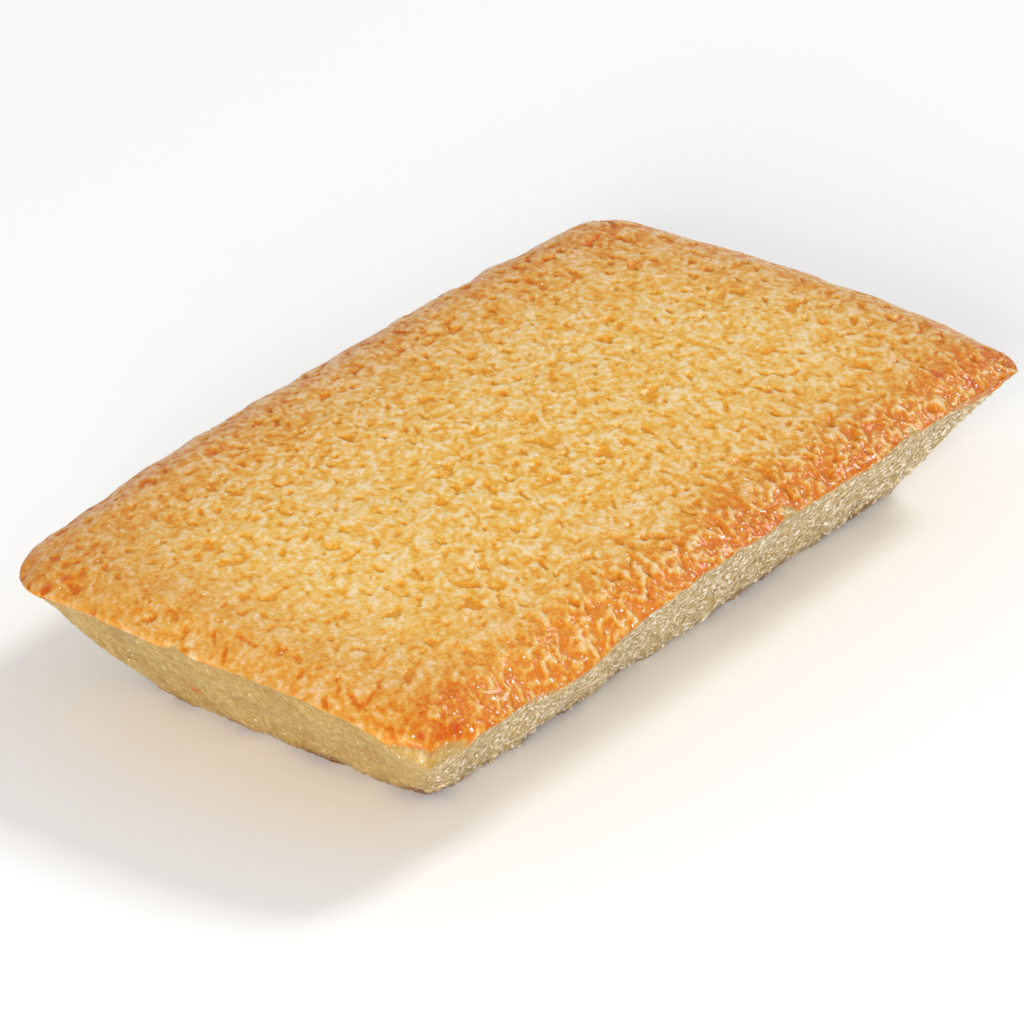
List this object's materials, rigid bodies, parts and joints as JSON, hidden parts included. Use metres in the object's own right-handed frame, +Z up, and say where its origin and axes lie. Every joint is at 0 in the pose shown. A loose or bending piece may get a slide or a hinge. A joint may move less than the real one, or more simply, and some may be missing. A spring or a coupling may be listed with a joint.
{
  "type": "financier cake",
  "caption": "Small rectangular almond cake with a pebbled golden crust, a low crowned top, sloping pale walls and a flat underside.",
  "frame": {"origin": "in the plane of the flat underside, below the middle of the crust's outline", "axes": "+X along the cake's length, +Y across it, +Z up from the underside to the crust"},
  "size_m": [0.0952, 0.0536, 0.0165],
  "materials": {
    "sponge": "baked almond sponge: golden, pebbled and slightly buttery on top, browner at the edges, pale beige crumb on the walls"
  },
  "bodies": {
    "root": {"financier_cake": "sponge"}
  },
  "joints": []
}
